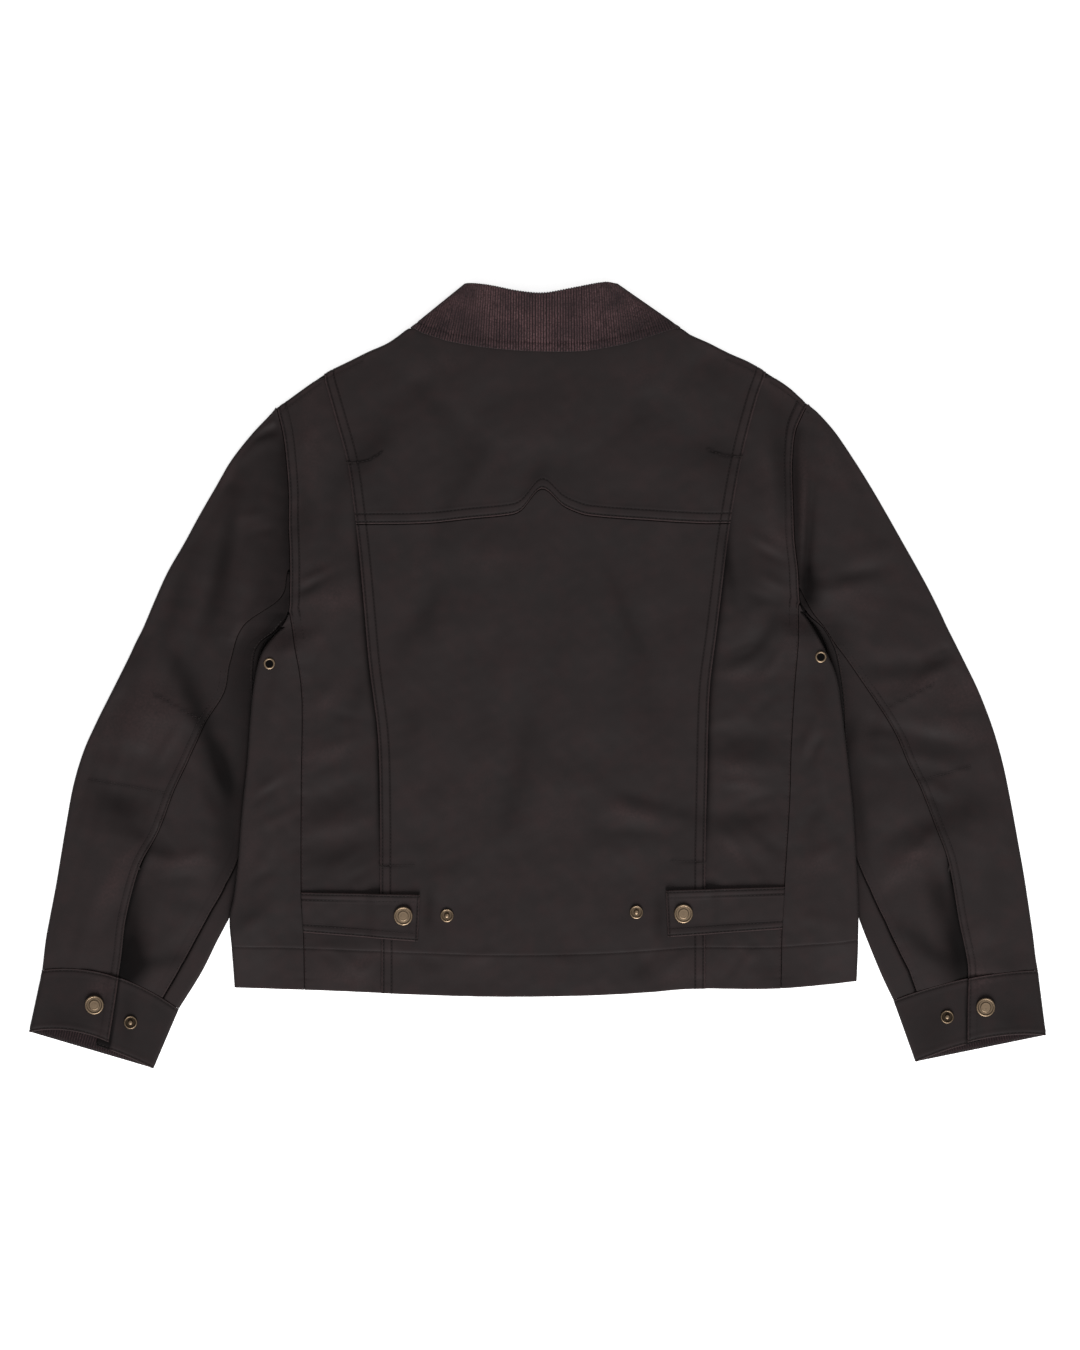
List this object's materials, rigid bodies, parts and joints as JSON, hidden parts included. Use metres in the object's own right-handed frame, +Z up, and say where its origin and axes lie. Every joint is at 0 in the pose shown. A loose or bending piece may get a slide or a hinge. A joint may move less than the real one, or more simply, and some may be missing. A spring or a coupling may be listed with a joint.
{
  "type": "waxed cotton jacket",
  "caption": "Cropped waxed cotton jacket laid flat face down, with a folded corduroy collar, a peaked back yoke, open back pleats, waist tabs and snap cuffs.",
  "frame": {"origin": "centre of the outline's bounding box, on the surface that the jacket lies on", "axes": "+X across the back, +Y from the hem to the collar, +Z up, out of the jacket's back"},
  "size_m": [0.9136, 0.7062, 0.0154],
  "materials": {
    "waxed_cotton": "dark brown cotton with a dull wax sheen",
    "corduroy": "brown corduroy with fine wales",
    "antique_brass": "brushed, darkened brass"
  },
  "bodies": {
    "root": {"back_yoke": "waxed_cotton", "back_panel": "waxed_cotton", "collar_stand": "waxed_cotton", "side_back_left": "waxed_cotton", "side_back_right": "waxed_cotton", "side_panel_left": "waxed_cotton", "side_panel_right": "waxed_cotton", "front_left": "waxed_cotton", "front_right": "waxed_cotton", "top_sleeve_left": "waxed_cotton", "top_sleeve_right": "waxed_cotton", "under_sleeve_left": "waxed_cotton", "under_sleeve_right": "waxed_cotton", "cuff_left": "waxed_cotton", "cuff_right": "waxed_cotton", "waist_tab_left": "waxed_cotton", "waist_tab_right": "waxed_cotton", "collar": "corduroy", "cuff_lining_left": "corduroy", "cuff_lining_right": "corduroy", "tab_cap_left": "antique_brass", "tab_cap_right": "antique_brass", "cuff_cap_left": "antique_brass", "cuff_cap_right": "antique_brass", "hem_stud_left": "antique_brass", "hem_stud_right": "antique_brass", "cuff_stud_left": "antique_brass", "cuff_stud_right": "antique_brass", "eyelet_left": "antique_brass", "eyelet_right": "antique_brass"}
  },
  "joints": []
}
